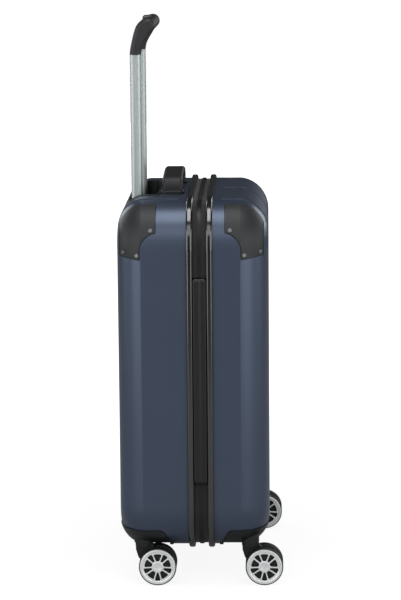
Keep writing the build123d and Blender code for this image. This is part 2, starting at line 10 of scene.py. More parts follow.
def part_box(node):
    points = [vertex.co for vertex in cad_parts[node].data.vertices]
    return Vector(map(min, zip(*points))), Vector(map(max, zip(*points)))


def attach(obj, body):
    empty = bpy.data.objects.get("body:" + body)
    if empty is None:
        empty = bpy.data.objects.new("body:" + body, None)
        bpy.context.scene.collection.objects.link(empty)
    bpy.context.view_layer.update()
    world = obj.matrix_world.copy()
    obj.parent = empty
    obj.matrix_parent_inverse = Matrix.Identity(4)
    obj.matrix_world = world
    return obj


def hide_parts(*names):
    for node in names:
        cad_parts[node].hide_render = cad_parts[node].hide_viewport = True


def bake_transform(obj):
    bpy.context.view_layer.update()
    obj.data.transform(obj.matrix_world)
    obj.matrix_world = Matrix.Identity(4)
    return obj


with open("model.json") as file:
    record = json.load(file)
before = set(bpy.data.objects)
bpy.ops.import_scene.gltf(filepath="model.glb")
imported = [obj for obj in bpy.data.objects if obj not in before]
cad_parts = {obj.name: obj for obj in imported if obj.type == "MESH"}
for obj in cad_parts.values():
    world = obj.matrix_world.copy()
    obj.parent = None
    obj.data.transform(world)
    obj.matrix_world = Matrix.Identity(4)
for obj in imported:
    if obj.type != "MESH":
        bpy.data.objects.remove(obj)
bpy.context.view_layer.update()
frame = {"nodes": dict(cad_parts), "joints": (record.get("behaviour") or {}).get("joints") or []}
NODES = frame["nodes"]

MM = 0.001
CORNERS = ("front_left", "front_right", "rear_left", "rear_right")

# Shell outline, read from the frame
SHELL_LOW, SHELL_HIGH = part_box("rear_shell")
HALF_W = SHELL_HIGH.x
MID_Z = (SHELL_LOW.z + SHELL_HIGH.z) / 2
HALF_H = (SHELL_HIGH.z - SHELL_LOW.z) / 2
SHELL_R = 62 * MM
CREASE = math.radians(8.0)
CREASE_DEPTH = {"rear": 77.5 * MM, "front": 54.0 * MM}
FACE_DEPTH = {"rear": SHELL_HIGH.y, "front": -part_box("front_shell")[0].y}
HINGE_LOW, HINGE_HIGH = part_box("rear_hinge_leaf")
HINGE_X = frame["joints"][0]["pos_m"][0]

# Camera, fitted to the photograph's 401 x 600 frame
IMAGE_HEIGHT_PX = 600
FOCAL_PX = 2415.4
SENSOR_MM = 36.0
CAMERA_AT = Vector((-3.3343, -0.0904, 0.9057))
CAMERA_YAW = -0.0282
CAMERA_PITCH = 0.1610
CAMERA_ROLL = -0.0086
CAMERA_CLIP = 50

# Materials: range that noise values mostly keep to, and what each kind of surface shares
NOISE_FROM = 0.3
NOISE_TO = 0.7
BEVEL_SAMPLES = 4
CLOUD_SCALE = 9.0
GRAIN_GLOSS = 0.05
LINE_GLOSS_LESS = 0.05
LINE_GLOSS_MORE = 0.07
LINE_DEPTH = 0.05 * MM
WEAVE_DISTORTION = 0.6
WEAVE_LIGHT = 0.4
WEAVE_SHEEN = 0.15
WEAVE_RELIEF = 0.5
WEAVE_DEPTH = 0.25 * MM


def new_material(name):
    """A material with its node tree and its shader."""
    mat = bpy.data.materials.new(name)
    mat.use_nodes = True
    tree = mat.node_tree
    return mat, tree, tree.nodes["Principled BSDF"]


def object_coords(tree, stretch=(1, 1, 1)):
    """Places on the object, scaled along each axis."""
    coords = tree.nodes.new("ShaderNodeTexCoord")
    mapping = tree.nodes.new("ShaderNodeMapping")
    mapping.inputs["Scale"].default_value = stretch
    tree.links.new(coords.outputs["Object"], mapping.inputs["Vector"])
    return mapping.outputs["Vector"]


def noise_node(tree, scale, detail, stretch=(1, 1, 1)):
    """Noise in object space, as a value from 0 to 1."""
    node = tree.nodes.new("ShaderNodeTexNoise")
    node.inputs["Scale"].default_value = scale
    node.inputs["Detail"].default_value = detail
    tree.links.new(object_coords(tree, stretch), node.inputs["Vector"])
    return node.outputs["Fac"]


def ramp(tree, value, low, high):
    """Maps a 0 to 1 value onto a range of numbers."""
    node = tree.nodes.new("ShaderNodeMapRange")
    node.inputs["From Min"].default_value = NOISE_FROM
    node.inputs["From Max"].default_value = NOISE_TO
    node.inputs["To Min"].default_value = low
    node.inputs["To Max"].default_value = high
    tree.links.new(value, node.inputs["Value"])
    return node.outputs["Result"]


def tint(tree, value, dark, light):
    """Colour between a dark and a light one."""
    node = tree.nodes.new("ShaderNodeMix")
    node.data_type = "RGBA"
    node.inputs["A"].default_value = (*dark, 1)
    node.inputs["B"].default_value = (*light, 1)
    tree.links.new(value, node.inputs["Factor"])
    return node.outputs["Result"]


def bump(tree, bsdf, height, strength, distance, edge=0.0):
    """Surface relief, over edges that look rounded by a small radius."""
    node = tree.nodes.new("ShaderNodeBump")
    node.inputs["Strength"].default_value = strength
    node.inputs["Distance"].default_value = distance
    tree.links.new(height, node.inputs["Height"])
    tree.links.new(node.outputs["Normal"], bsdf.inputs["Normal"])
    if edge:
        soft = tree.nodes.new("ShaderNodeBevel")
        soft.samples = BEVEL_SAMPLES
        soft.inputs["Radius"].default_value = edge
        tree.links.new(soft.outputs["Normal"], node.inputs["Normal"])


def scaled(colour, factor):
    """A colour made lighter or darker."""
    return tuple(c * factor for c in colour)


def moulded(name, colour, rough, grain_mm, depth_mm, spread=0.12, strength=0.35, edge_mm=0.5,
            shine=0.5, flake=0.0):
    """Moulded plastic: fine grain in the surface, slight cloudiness in colour and gloss."""
    mat, tree, bsdf = new_material(name)
    bsdf.inputs["Specular IOR Level"].default_value = shine
    bsdf.inputs["Metallic"].default_value = flake
    cloud = noise_node(tree, CLOUD_SCALE, 3.0)
    grain = noise_node(tree, 1000.0 / grain_mm, 2.0)
    tone = tint(tree, cloud, scaled(colour, 1 - spread), scaled(colour, 1 + spread))
    tree.links.new(tone, bsdf.inputs["Base Color"])
    tree.links.new(ramp(tree, grain, rough - GRAIN_GLOSS, rough + GRAIN_GLOSS), bsdf.inputs["Roughness"])
    bump(tree, bsdf, grain, strength, depth_mm * MM, edge_mm * MM)
    return mat


def metal(name, colour, rough, stretch, scale=400.0, spread=0.06, strength=0.08):
    """Metal with fine lines along the axis that stretch keeps long."""
    mat, tree, bsdf = new_material(name)
    bsdf.inputs["Metallic"].default_value = 1.0
    lines = noise_node(tree, scale, 3.0, stretch)
    tone = tint(tree, lines, scaled(colour, 1 - spread), scaled(colour, 1 + spread))
    tree.links.new(tone, bsdf.inputs["Base Color"])
    gloss = ramp(tree, lines, rough - LINE_GLOSS_LESS, rough + LINE_GLOSS_MORE)
    tree.links.new(gloss, bsdf.inputs["Roughness"])
    bump(tree, bsdf, lines, strength, LINE_DEPTH)
    return mat


def woven(name, colour, thread_mm, rough=0.85, contrast=0.35, axes=("X", "Z")):
    """Plain weave: two crossing sets of threads."""
    mat, tree, bsdf = new_material(name)
    vector = object_coords(tree)
    sets = []
    for axis in axes:
        wave = tree.nodes.new("ShaderNodeTexWave")
        wave.wave_type = "BANDS"
        wave.bands_direction = axis
        wave.inputs["Scale"].default_value = 1000.0 / thread_mm / (2 * math.pi) * 0.5
        wave.inputs["Distortion"].default_value = WEAVE_DISTORTION
        wave.inputs["Detail"].default_value = 1.0
        tree.links.new(vector, wave.inputs["Vector"])
        sets.append(wave.outputs["Fac"])
    weave = tree.nodes.new("ShaderNodeMath")
    weave.operation = "MAXIMUM"
    tree.links.new(sets[0], weave.inputs[0])
    tree.links.new(sets[1], weave.inputs[1])
    light = scaled(colour, 1 + contrast * WEAVE_LIGHT)
    tone = tint(tree, weave.outputs[0], scaled(colour, 1 - contrast), light)
    tree.links.new(tone, bsdf.inputs["Base Color"])
    bsdf.inputs["Roughness"].default_value = rough
    bsdf.inputs["Sheen Weight"].default_value = WEAVE_SHEEN
    bump(tree, bsdf, weave.outputs[0], WEAVE_RELIEF, WEAVE_DEPTH)
    return mat


NAVY = moulded("navy_shell", (0.047, 0.063, 0.098), 0.35, 1.1, 0.06, 0.05, 0.12, 0.9, 0.5, 0.55)
BLACK = moulded("black_moulding", (0.019, 0.0208, 0.0216), 0.46, 0.8, 0.05, 0.10, 0.25, 0.5, 0.25)
DARK = moulded("dark_moulding", (0.006, 0.007, 0.0075), 0.42, 0.8, 0.05, 0.10, 0.25, 0.5, 0.30)
FRAME = moulded("edge_frame", (0.006, 0.007, 0.007), 0.15, 1.6, 0.02, 0.10, 0.08, 0.25, 1.0)
GRIP = moulded("grip_plastic", (0.011, 0.011, 0.013), 0.45, 0.6, 0.05, 0.12, 0.35, 0.5, 0.35)
HANDLE = moulded("handle_rubber", (0.009, 0.009, 0.0105), 0.50, 0.6, 0.05, 0.12, 0.35, 0.5, 0.30)
RUBBER = moulded("hinge_rubber", (0.006, 0.0062, 0.007), 0.40, 0.9, 0.04, 0.10, 0.30, 0.5, 0.30)
TYRE = moulded("tyre_rubber", (0.007, 0.007, 0.0075), 0.60, 0.7, 0.06, 0.12, 0.35, 0.5, 0.3)
BUTTON = moulded("button_plastic", (0.040, 0.040, 0.043), 0.40, 0.8, 0.03)
TEETH = moulded("zip_teeth", (0.013, 0.0135, 0.0135), 0.33, 1.0, 0.02, 0.10, 0.20, 0.0, 0.35)
ALUMINIUM = metal("anodised_tube", (0.38, 0.418, 0.416), 0.46, (1, 1, 0.01), 400.0, 0.03, 0.01)
SILVER = moulded("silver_hub", (0.66, 0.68, 0.68), 0.30, 0.9, 0.02, 0.06, 0.10, 0.3, 0.5, 0.45)
STEEL = metal("plated_steel", (0.52, 0.53, 0.54), 0.32, (1, 1, 1), 300.0)
RIVET = metal("rivet_steel", (0.15, 0.155, 0.155), 0.36, (1, 1, 1), 300.0)
SLIDER = metal("slider_metal", (0.16, 0.16, 0.17), 0.38, (1, 1, 1), 300.0)
LINING = woven("lining_cloth", (0.085, 0.09, 0.105), 1.1)
WEBBING = woven("strap_webbing", (0.030, 0.031, 0.034), 1.6, axes=("X", "Z"))
TAPE = woven("zip_tape_cloth", (0.004, 0.004, 0.0045), 0.9, axes=("Y", "Z"))

DRESS = {
    NAVY: ["rear_shell", "front_shell"],
    BLACK: ["rear_corner_guards", "front_corner_guards", "tube_collars", "tube_plugs", "tube_foot",
            "strap_buckles"],
    DARK: ["rear_wheel_housings", "front_wheel_housings", "rear_swivel_washers", "front_swivel_washers",
           "handle_tray", "handle_anchors"] + [f"fork_{c}" for c in CORNERS],
    FRAME: ["rear_frame", "front_frame"],
    GRIP: ["grip"],
    HANDLE: ["top_handle", "side_handle"],
    BUTTON: ["grip_button"],
    ALUMINIUM: ["outer_tubes", "middle_tubes", "inner_tubes"],
    STEEL: ["release_rods"] + [f"axle_{c}" for c in CORNERS],
    RIVET: ["rear_guard_rivets", "front_guard_rivets"],
    SLIDER: ["zip_slider_upper", "zip_slider_lower"],
    TYRE: [f"tyre_{c}_{s}" for c in CORNERS for s in "ab"],
    SILVER: [f"hubcap_{c}_{s}" for c in CORNERS for s in "ab"],
    LINING: ["tube_cover"],
}


def dress_nodes():
    """Gives each CAD piece its material."""
    for mat, names in DRESS.items():
        for name in names:
            obj = NODES[name]
            if not obj.material_slots:
                obj.data.materials.append(mat)
            for slot in obj.material_slots:
                slot.material = mat


def mesh_piece(name, verts, faces, mat, smooth=True):
    """A piece of the scene's own, with its normals facing out."""
    mesh = bpy.data.meshes.new(name)
    mesh.from_pydata([tuple(v) for v in verts], [], faces)
    mesh.validate()
    mesh.materials.append(mat)
    obj = bpy.data.objects.new(name, mesh)
    bpy.context.scene.collection.objects.link(obj)
    tidy = bmesh.new()
    tidy.from_mesh(mesh)
    bmesh.ops.recalc_face_normals(tidy, faces=tidy.faces)
    tidy.to_mesh(mesh)
    tidy.free()
    if smooth:
        mesh.polygons.foreach_set("use_smooth", [True] * len(mesh.polygons))
    return obj


def ring_faces(rings, count, base=0):
    """Quads that join rings of points, each ring to the next."""
    faces = []
    for i in range(rings - 1):
        for k in range(count):
            a = base + i * count + k
            b = base + i * count + (k + 1) % count
            faces.append((a, b, b + count, a + count))
    return faces


def end_faces(rings, count, base=0):
    """Faces that close the first and the last ring."""
    last = base + (rings - 1) * count
    return [tuple(range(base, base + count)), tuple(range(last, last + count))]


def apply_modifiers(obj):
    """Puts the modified mesh in place of the plain one."""
    bpy.context.view_layer.update()
    solid = obj.evaluated_get(bpy.context.evaluated_depsgraph_get())
    mesh = bpy.data.meshes.new_from_object(solid)
    obj.modifiers.clear()
    obj.data = mesh


def outline_loop(grow, per_corner, per_side=1):
    """Points of the shell outline at an offset, clockwise from the left wall, with outward normals."""
    r = max(SHELL_R + grow, 1 * MM)
    cx = HALF_W + grow - r
    cz = HALF_H + grow - r
    points = []
    for sx, sz, start in ((-1, 1, math.pi), (1, 1, math.pi / 2), (1, -1, 0.0), (-1, -1, -math.pi / 2)):
        for k in range(per_corner + 1):
            a = start - (math.pi / 2) * k / per_corner
            n = Vector((math.cos(a), 0, math.sin(a)))
            points.append((Vector((sx * cx, 0, MID_Z + sz * cz)) + n * r, n))
    dense = []
    for i, (p, n) in enumerate(points):
        q, m = points[(i + 1) % len(points)]
        steps = per_side if (i + 1) % (per_corner + 1) == 0 else 1
        for k in range(steps):
            dense.append((p.lerp(q, k / steps), n.lerp(m, k / steps).normalized()))
    return dense


WALK_CORNER = 24


def outline_walk(grow, pitch, z_from, z_to):
    """Evenly spaced places along the outline, from the left wall up, over and back below."""
    left = -(HALF_W + grow)
    dense = [Vector((left, 0, z_from))]
    dense += [p for p, _ in outline_loop(grow, WALK_CORNER)]
    dense.append(Vector((left, 0, z_to)))
    places = []
    carry = 0.0
    for p, q in zip(dense, dense[1:]):
        run = (q - p).length
        tangent = (q - p).normalized()
        normal = Vector((-tangent.z, 0, tangent.x))
        while carry < run:
            places.append((p + tangent * carry, tangent, normal))
            carry += pitch
        carry -= run
    return places


# Zip: ends at the hinge, tape as distance from the zip's plane and height, teeth as reach and width
ZIP_GAP = 0.4 * MM
ZIP_TOP = HINGE_HIGH.z + ZIP_GAP
ZIP_LOW = HINGE_LOW.z - ZIP_GAP
ZIP_GROW = -1.3 * MM
TAPE_PITCH = 4 * MM
TAPE_SECTION = ((0.5, 0.0), (8.9, 0.0), (8.9, -0.9), (0.5, -0.9))
TOOTH_START = 2 * MM
TOOTH_PITCH = 3.3 * MM
TOOTH_REACH = 1.0 * MM
TOOTH_ROOT = 2.8 * MM
TOOTH_HIGH = 1.5 * MM
TOOTH_SINK = 0.1 * MM
TOOTH_TAPER = 0.8
TOOTH_FILL = 0.62
TOOTH_FORM = ((TOOTH_ROOT, 1.5), (0.3 * MM, 0.9), (-TOOTH_REACH * 0.4, 1.1), (-TOOTH_REACH, 0.9))


def zip_half(half, sign):
    """Woven tape and interlocking teeth of one half of the zip."""
    places = outline_walk(ZIP_GROW, TAPE_PITCH, ZIP_TOP, ZIP_LOW)
    verts = []
    for p, _, n in places:
        for y, up in TAPE_SECTION:
            verts.append(p + n * (up * MM) + Vector((0, sign * y * MM, 0)))
    count = len(TAPE_SECTION)
    faces = ring_faces(len(places), count) + end_faces(len(places), count)
    tape = mesh_piece(f"zip_tape_{half}", verts, faces, TAPE, smooth=False)
    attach(tape, f"{half}_half")
    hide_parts(f"{half}_zip_tape")

    verts = []
    faces = []
    shift = 0.0 if sign > 0 else TOOTH_PITCH / 2
    start = ZIP_TOP + TOOTH_START + shift
    for p, t, n in outline_walk(ZIP_GROW, TOOTH_PITCH, start, ZIP_LOW - TOOTH_START):
        base = len(verts)
        for y, wide in TOOTH_FORM:
            for side in (-1, 1):
                for up in (0.0, TOOTH_HIGH):
                    grow = TOOTH_TAPER if up else 1.0
                    across = t * (side * wide * grow * MM * TOOTH_FILL)
                    verts.append(p + across + n * (up - TOOTH_SINK) + Vector((0, sign * y, 0)))
        for k in range(len(TOOTH_FORM) - 1):
            a = base + 4 * k
            faces.append((a, a + 1, a + 5, a + 4))
            faces.append((a + 2, a + 3, a + 7, a + 6))
            faces.append((a + 1, a + 3, a + 7, a + 5))
            faces.append((a, a + 2, a + 6, a + 4))
        faces.append((base, base + 1, base + 3, base + 2))
        faces.append((base + 12, base + 13, base + 15, base + 14))
    teeth = mesh_piece(f"zip_teeth_{half}", verts, faces, TEETH, smooth=False)
    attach(teeth, f"{half}_half")


# Hub caps, in millimetres: openings as inner and outer radius and half angle, profiles as radius and height
CAP_SEGMENTS = 96
CAP_SHARP = math.radians(35)
CAP_AXIS_R = 0.02
CAP_FOOT_TOP = 0.5
CAP_ROUNDS = 3
CAP_BEVEL = 0.35
CAP_PLATE = 2.1
CAP_PLATE_R = 21.0
CAP_FOOT_R = 6.5
CAP_SPOKE_HALF = 0.88
CAP_WINDOWS = 5
CAP_WIDE = (8.0, 18.1, 21.3)
CAP_NARROW = (8.2, 19.6, 14.7)
CAP_ROUND_IN = 2.2
CAP_ROUND_OUT = {CAP_WIDE: 3.0, CAP_NARROW: 4.5}
CAP_RIM = ((20.2, 0.4), (20.2, 2.1), (20.6, 2.45), (21.2, 2.65), (22.4, 2.58), (23.3, 2.7), (23.9, 2.45),
           (24.2, 1.9), (24.2, 0.0), (20.6, 0.0))
CAP_HUB = ((0.0, 2.3), (4.4, 2.35), (5.1, 2.65), (6.3, 2.7), (7.2, 2.55), (7.7, 2.0), (7.7, 0.3), (0.0, 0.3))


def cut_corners(points, rounds):
    """A closed outline with its corners cut again and again, which leaves a smooth curve."""
    for _ in range(rounds):
        smooth = []
        for p, q in zip(points, points[1:] + points[:1]):
            smooth.append(p.lerp(q, 0.25))
            smooth.append(p.lerp(q, 0.75))
        points = smooth
    return points


def cap_window(form, turn_deg):
    """Outline of an opening between two straight spokes, rounded more at its outer end."""
    r0, r1, half_deg = form
    places = []
    radii = (r0, r0 + CAP_ROUND_IN, r1 - CAP_ROUND_OUT[form], r1)
    for side, run in ((-1, radii), (1, radii[::-1])):
        for r in run:
            a = side * (math.radians(half_deg) - math.asin(CAP_SPOKE_HALF / r)) + math.radians(turn_deg)
            places.append(Vector((r * math.cos(a), r * math.sin(a), 0)))
    if form == CAP_WIDE:
        a = math.radians(turn_deg)
        places.insert(len(radii), Vector((r1 * math.cos(a), r1 * math.sin(a), 0)))
    return cut_corners(places, CAP_ROUNDS)


def lathe(profile, verts, faces):
    """Adds a closed profile of radius and height, turned around the wheel's axis."""
    base = len(verts)
    count = len(profile)
    for i in range(CAP_SEGMENTS):
        a = 2 * math.pi * i / CAP_SEGMENTS
        for r, h in profile:
            r = max(r, CAP_AXIS_R)
            verts.append(Vector((r * math.cos(a), r * math.sin(a), h)))
    for i in range(CAP_SEGMENTS):
        for k in range(count):
            a = base + i * count
            b = base + (i + 1) % CAP_SEGMENTS * count
            j = (k + 1) % count
            faces.append((a + k, b + k, b + j, a + j))


def cap_plate():
    """The spoked plate: a disc with its openings, with rounded edges."""
    curve = bpy.data.curves.new("cap_outline", "CURVE")
    curve.dimensions = "2D"
    curve.fill_mode = "BOTH"
    curve.extrude = CAP_PLATE / 2 - CAP_BEVEL
    curve.bevel_depth = CAP_BEVEL
    curve.bevel_resolution = 2
    curve.offset = -CAP_BEVEL
    turns = [2 * math.pi * i / CAP_SEGMENTS for i in range(CAP_SEGMENTS)]
    outlines = [[Vector((CAP_PLATE_R * math.cos(a), CAP_PLATE_R * math.sin(a), 0)) for a in turns]]
    for k in range(CAP_WINDOWS):
        turn = 90 + 360 / CAP_WINDOWS * k
        outlines.append(cap_window(CAP_WIDE, turn))
        outlines.append(cap_window(CAP_NARROW, turn + 180 / CAP_WINDOWS))
    for outline in outlines:
        spline = curve.splines.new("POLY")
        spline.points.add(len(outline) - 1)
        for point, p in zip(spline.points, outline):
            point.co = (p.x, p.y, 0, 1)
        spline.use_cyclic_u = True
    holder = bpy.data.objects.new("cap_outline", curve)
    bpy.context.scene.collection.objects.link(holder)
    bpy.context.view_layer.update()
    mesh = bpy.data.meshes.new_from_object(holder.evaluated_get(bpy.context.evaluated_depsgraph_get()))
    verts = [v.co + Vector((0, 0, CAP_PLATE / 2)) for v in mesh.vertices]
    faces = [tuple(f.vertices) for f in mesh.polygons]
    bpy.data.objects.remove(holder)
    bpy.data.meshes.remove(mesh)
    return verts, faces


def hub_caps():
    """Silver caps with paired spokes in place of the plain ones of the wheels."""
    verts, faces = cap_plate()
    lathe(CAP_RIM, verts, faces)
    lathe(CAP_HUB, verts, faces)
    reach = max(h for _, h in CAP_RIM)
    for corner in CORNERS:
        for side, out in (("a", -1), ("b", 1)):
            node = f"hubcap_{corner}_{side}"
            low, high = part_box(node)
            depth = (high.x - low.x) / MM
            back = reach - depth
            foot = ((0.0, back), (CAP_FOOT_R, back), (CAP_FOOT_R, CAP_FOOT_TOP), (0.0, CAP_FOOT_TOP))
            own_verts = list(verts)
            own_faces = list(faces)
            lathe(foot, own_verts, own_faces)
            face_x = high.x if out > 0 else low.x
            middle = (low + high) / 2
            placed = []
            for v in own_verts:
                placed.append((face_x + out * (v.z - reach) * MM, middle.y + v.x * MM, middle.z + v.y * MM))
            cap = mesh_piece(f"spoked_cap_{corner}_{side}", placed, own_faces, SILVER)
            cap.data.set_sharp_from_angle(angle=CAP_SHARP)
            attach(cap, f"wheel_{corner}_{side}")
            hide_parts(node)


STRIP_ACROSS = 24
STRIP_ALONG = 60
STRIP_BACK = 0.9 * MM
STRIP_CROWN = 0.55 * MM
STRIP_THICK = 2.2 * MM
STRIP_HALF = 8.6 * MM
STRIP_ROUND = 2.2 * MM


def hinge_strip():
    """Soft strip over the fold: two leaves cut straight at the ends, with a valley between them."""
    low = HINGE_LOW.z
    high = HINGE_HIGH.z
    face_x = HINGE_X + STRIP_BACK
    verts = []
    for layer in (0, 1):
        for i in range(STRIP_ALONG + 1):
            for k in range(STRIP_ACROSS + 1):
                y = STRIP_HALF * (2 * k / STRIP_ACROSS - 1)
                off = (abs(y) - STRIP_HALF / 2) / (STRIP_HALF / 2)
                trim = STRIP_ROUND * (1 - math.sqrt(max(0.0, 1 - max(0.0, off) ** 4)))
                t = i / STRIP_ALONG
                z = low + trim + (high - low - 2 * trim) * t
                crown = STRIP_CROWN * math.cos(math.pi / 2 * min(1, off ** 4))
                x = face_x - crown if layer == 0 else face_x + STRIP_THICK
                verts.append((x, y, z))
    row = STRIP_ACROSS + 1
    size = row * (STRIP_ALONG + 1)
    faces = []
    for layer in (0, 1):
        for i in range(STRIP_ALONG):
            for k in range(STRIP_ACROSS):
                a = layer * size + i * row + k
                faces.append((a, a + 1, a + 1 + row, a + row))
    for k in range(STRIP_ACROSS):
        faces.append((k, k + 1, size + k + 1, size + k))
        top = STRIP_ALONG * row + k
        faces.append((top, top + 1, size + top + 1, size + top))
    for i in range(STRIP_ALONG):
        for k in (0, STRIP_ACROSS):
            a = i * row + k
            faces.append((a, a + row, size + a + row, size + a))
    strip = mesh_piece("hinge_strip", verts, faces, RUBBER)
    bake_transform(strip)
    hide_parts("rear_hinge_leaf", "front_hinge_leaf")


# Lining: inset from the shell, sewn edge, rows, ripple, and what it has to keep clear of
LINING_IN = 5.9 * MM
LINING_EDGE = 19 * MM
EDGE_BACK = 0.9 * MM
EDGE_DOWN = 2.9 * MM
LINING_THICK = 0.7 * MM
LINING_MIDDLE = 8 * MM
WALL_ROWS = 8
EDGE_ROWS = 10
FACE_ROWS = 12
WRINKLE = 0.9 * MM
RIPPLE_WIDE = 26.0
RIPPLE_FINE = 71.0
CLOTH_CORNER = 10
FACE_NEAR = 0.01 * MM
TENT_GAP = 1.2 * MM
RIB_SECTION = ((0, 0.5), (0.5, 0), (4.5, 0), (5, 0.5), (5, 2.0), (4.5, 2.5), (0.5, 2.5), (0, 2.0))
RIB_STEPS = 12
RIB_LONG = 35 * MM
RIB_LEAD = 1.6 * MM
RIB_Z = 52.3 * MM
HOUSING_FOOT = 62 * MM
HOUSING_IN = 28 * MM
HOUSING_Z = 78.0 * MM
SIDE_STEPS = 60
TRAY_LOW, TRAY_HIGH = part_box("handle_tray")
TRAY_SIDE = 2.5 * MM
COVER_LOW, COVER_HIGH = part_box("tube_cover")
COVER_TUCK = 1.5 * MM


def lining_rows(half):
    """Depth and inset of the cloth's rows, from the edge frame over the rounded edge to the face's middle."""
    face = FACE_DEPTH[half]
    r = (face - CREASE_DEPTH[half]) / (1 - math.sin(CREASE))
    centre = face - r
    cloth_r = r - LINING_IN
    flat = r * math.cos(CREASE) - LINING_IN
    first = math.acos(flat / cloth_r)
    wall_end = centre + cloth_r * math.sin(first)
    rows = [(LINING_EDGE - EDGE_BACK, -EDGE_DOWN)]
    rows += [(LINING_EDGE + (wall_end - LINING_EDGE) * k / WALL_ROWS, 0.0) for k in range(WALL_ROWS)]
    for k in range(EDGE_ROWS + 1):
        turn = first + (math.pi / 2 - first) * k / EDGE_ROWS
        rows.append((centre + cloth_r * math.sin(turn), flat - cloth_r * math.cos(turn)))
    reach = HALF_W - LINING_IN - LINING_MIDDLE
    for k in range(1, FACE_ROWS + 1):
        rows.append((face - LINING_IN, flat + (reach - flat) * k / FACE_ROWS))
    return rows


def under_tray(p):
    """Leads the cloth down the front of the handle tray and along below it to the tube cover."""
    front = TRAY_LOW.y - TENT_GAP
    floor = TRAY_LOW.z - TENT_GAP
    if abs(p.x) > TRAY_HIGH.x + TRAY_SIDE or p.y < front or p.z < floor:
        return p
    top = MID_Z + HALF_H - LINING_IN
    way = (p.y - front) + (top - p.z)
    drop = top - floor
    if way < drop:
        return Vector((p.x, front, top - max(0.0, way)))
    return Vector((p.x, min(front + way - drop, COVER_LOW.y + COVER_TUCK), floor))


def behind_cover(p):
    """Whether a point of the cloth lies where the tube cover and the tray hide the tubes."""
    return abs(p.x) < COVER_HIGH.x - COVER_TUCK and p.y >= COVER_LOW.y and p.z > COVER_LOW.z + COVER_TUCK


def toe_ribs():
    """Ribs that close the toe of each wheel housing above the caster's clearance."""
    count = len(RIB_SECTION)
    for half, sign in (("rear", 1), ("front", -1)):
        near, inner, _ = wheel_well(half)
        for name, side in (("left", -1), ("right", 1)):
            verts = []
            for i in range(RIB_STEPS + 1):
                x = near + TENT_GAP + RIB_LONG * i / RIB_STEPS
                for y, z in RIB_SECTION:
                    verts.append((side * x, sign * (inner + y * MM - RIB_LEAD), RIB_Z + z * MM))
            faces = ring_faces(RIB_STEPS + 1, count) + end_faces(RIB_STEPS + 1, count)
            rib = mesh_piece(f"housing_rib_{half}_{name}", verts, faces, DARK)
            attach(rib, f"{half}_half")


def wheel_well(half):
    """Clear limits of the wheel housings inside one half: width, depth and height."""
    points = [v.co for v in NODES[f"{half}_wheel_housings"].data.vertices]
    near = min(abs(p.x) for p in points) - TENT_GAP
    top = max(p.z for p in points) + TENT_GAP
    stem = next(j["pos_m"][1] for j in frame["joints"] if j["name"] == f"swivel_{half}_left")
    level = MID_Z - HALF_H + LINING_IN
    inner = abs(stem) - HOUSING_FOOT + (HOUSING_FOOT - HOUSING_IN) * level / HOUSING_Z - TENT_GAP
    return near, inner, top


def over_housings(row, well, depth, inset, sign):
    """Lifts one row of the cloth up the inner side of the wheel housings and over them."""
    near, inner, top = well
    if depth <= inner:
        return row
    for side in (-1, 1):
        run = [i for i, p in enumerate(row) if side * p.x > near and p.z < top]
        run.sort(key=lambda i: side * row[i].x + row[i].z)
        if not run:
            continue
        low = row[run[0]].z
        rise = top - low
        reach = side * row[run[-1]].x - near
        for k, i in enumerate(run):
            along = (rise + reach) * (k + 1) / (len(run) + 1)
            goal_x = near + max(0.0, along - rise)
            goal_z = low + min(rise, along)
            step = Vector((side * goal_x - row[i].x, 0, goal_z - row[i].z))
            way = depth - inner + inset
            share = min(1.0, way / step.length)
            spot = row[i] + step * share
            spot.y = sign * min(depth, inner + max(0.0, way - step.length))
            row[i] = spot
    return row


def loop_length(inset):
    """Length of the shell outline at an inset."""
    r = max(SHELL_R - inset, 0.0)
    return 4 * (HALF_W + HALF_H - 2 * inset) - (8 - 2 * math.pi) * r


def cut_area(half, rows):
    """Flat area of the cloth's cut, from the case's sizes, less the cut-out for the tube cover."""
    area = 4 * LINING_MIDDLE * (HALF_H - HALF_W + LINING_MIDDLE)
    to_face = 0.0
    face = FACE_DEPTH[half] - LINING_IN
    for (depth, inset), (next_depth, next_inset) in zip(rows, rows[1:]):
        step = math.hypot(next_depth - depth, next_inset - inset)
        area += step * (loop_length(LINING_IN + inset) + loop_length(LINING_IN + next_inset)) / 2
        if depth < face - FACE_NEAR:
            to_face += step
            face_inset = next_inset
    if half == "front":
        return area
    top = MID_Z + HALF_H - LINING_IN
    down_face = top - face_inset - COVER_LOW.z - COVER_TUCK
    kept = COVER_LOW.y - rows[0][0] + top - (TRAY_LOW.z - TENT_GAP)
    return area - 2 * (COVER_HIGH.x - COVER_TUCK) * (to_face + down_face - kept)


def lining(half, sign):
    """Cloth that follows the inside of one half, tents over the wheel housings and leaves the tubes free."""
    rows = lining_rows(half)
    well = wheel_well(half)
    verts = []
    for depth, inset in rows:
        row = []
        for p, n in outline_loop(-LINING_IN - inset, CLOTH_CORNER, SIDE_STEPS):
            spot = Vector((p.x, sign * depth, p.z))
            ripple = noise.noise(spot * RIPPLE_WIDE) + 0.5 * noise.noise(spot * RIPPLE_FINE)
            row.append(spot - n * (WRINKLE * max(0.0, 0.5 + ripple)))
        for spot in over_housings(row, well, depth, inset, sign):
            verts.append(under_tray(spot) if sign > 0 else spot)
    count = len(verts) // len(rows)
    faces = ring_faces(len(rows), count)
    if sign < 0:
        faces.append(end_faces(len(rows), count)[1])
    else:
        faces = [quad for quad in faces if not all(behind_cover(verts[v]) for v in quad)]
    cloth = mesh_piece(f"lining_{half}", verts, faces, LINING)
    solid = cloth.modifiers.new("thickness", "SOLIDIFY")
    solid.thickness = LINING_THICK
    solid.offset = -1.0
    apply_modifiers(cloth)
    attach(cloth, f"{half}_half")
    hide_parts(f"{half}_lining")
    depth = FACE_DEPTH[half] - LINING_EDGE
    cut_area(half, rows)


